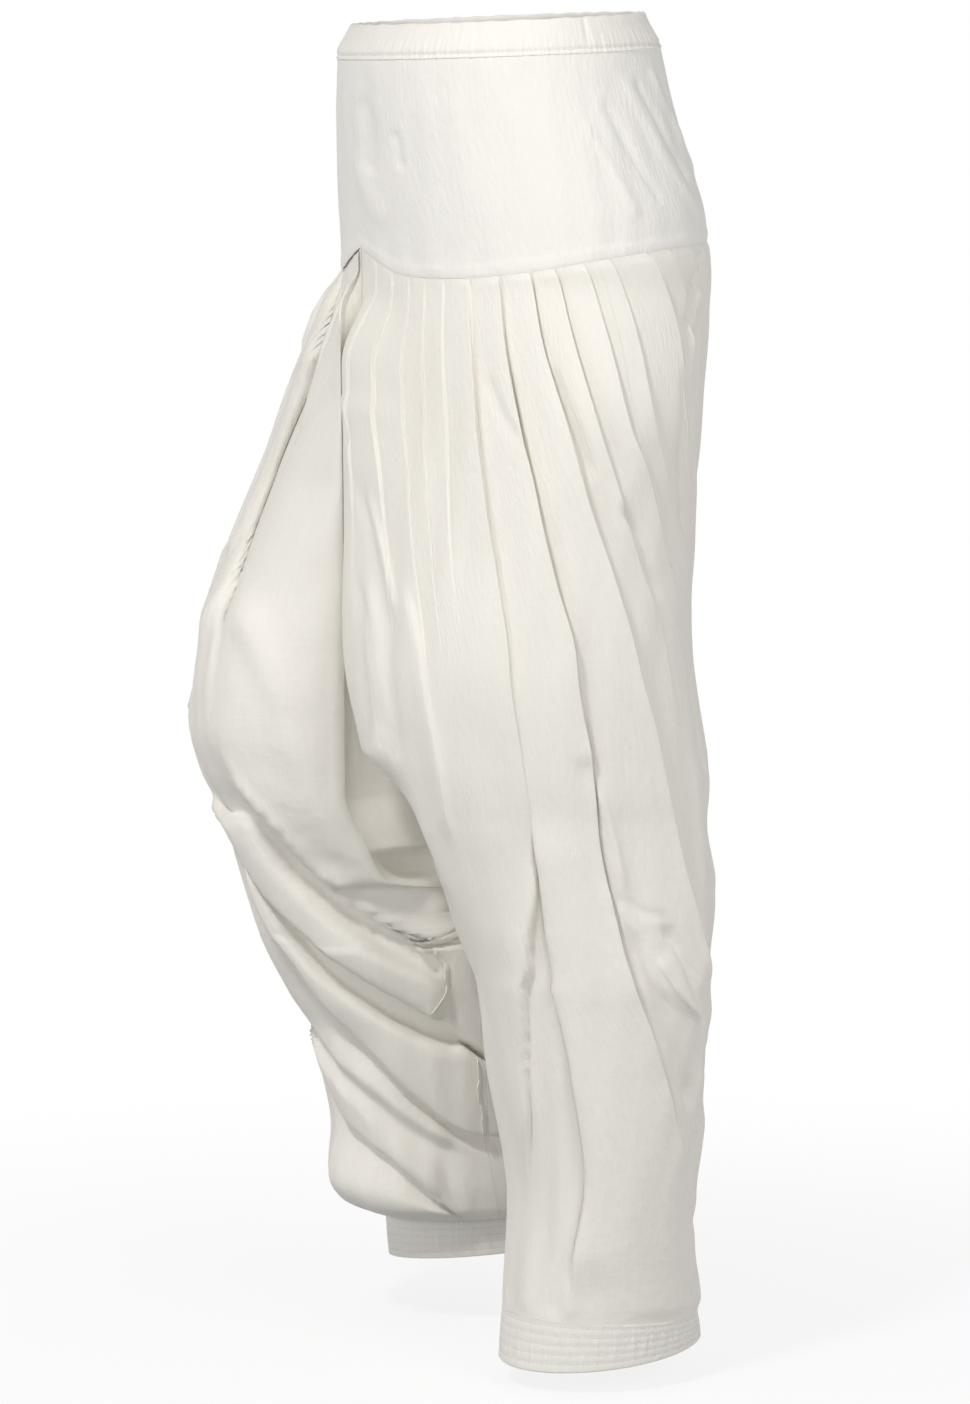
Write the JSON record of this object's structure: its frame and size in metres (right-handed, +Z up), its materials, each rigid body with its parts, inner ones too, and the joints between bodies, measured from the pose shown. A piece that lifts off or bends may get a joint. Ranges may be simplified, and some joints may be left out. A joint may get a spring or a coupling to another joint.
{
  "type": "patiala pants",
  "caption": "Pleated patiala pants with a fitted yoke, full legs falling in cowl folds and narrow ankle cuffs, in their hollow worn form.",
  "frame": {"origin": "centre of the waist opening, level with the top of the waistband at the sides", "axes": "+Z up along the body, -Y to the wearer's front, +X to the wearer's left"},
  "size_m": [0.4139, 0.3574, 0.9853],
  "materials": {
    "leg_cloth": "off white crepe cotton with a soft sheen",
    "yoke_cloth": "off white crepe cotton, fine upright slubs",
    "band_cloth": "off white cotton, folded and stitched"
  },
  "bodies": {
    "root": {"waistband_front": "band_cloth", "waistband_back": "band_cloth", "yoke_front": "yoke_cloth", "yoke_back": "yoke_cloth", "left_leg_front": "leg_cloth", "left_leg_back": "leg_cloth", "right_leg_front": "leg_cloth", "right_leg_back": "leg_cloth", "left_cuff": "band_cloth", "right_cuff": "band_cloth"}
  },
  "joints": []
}
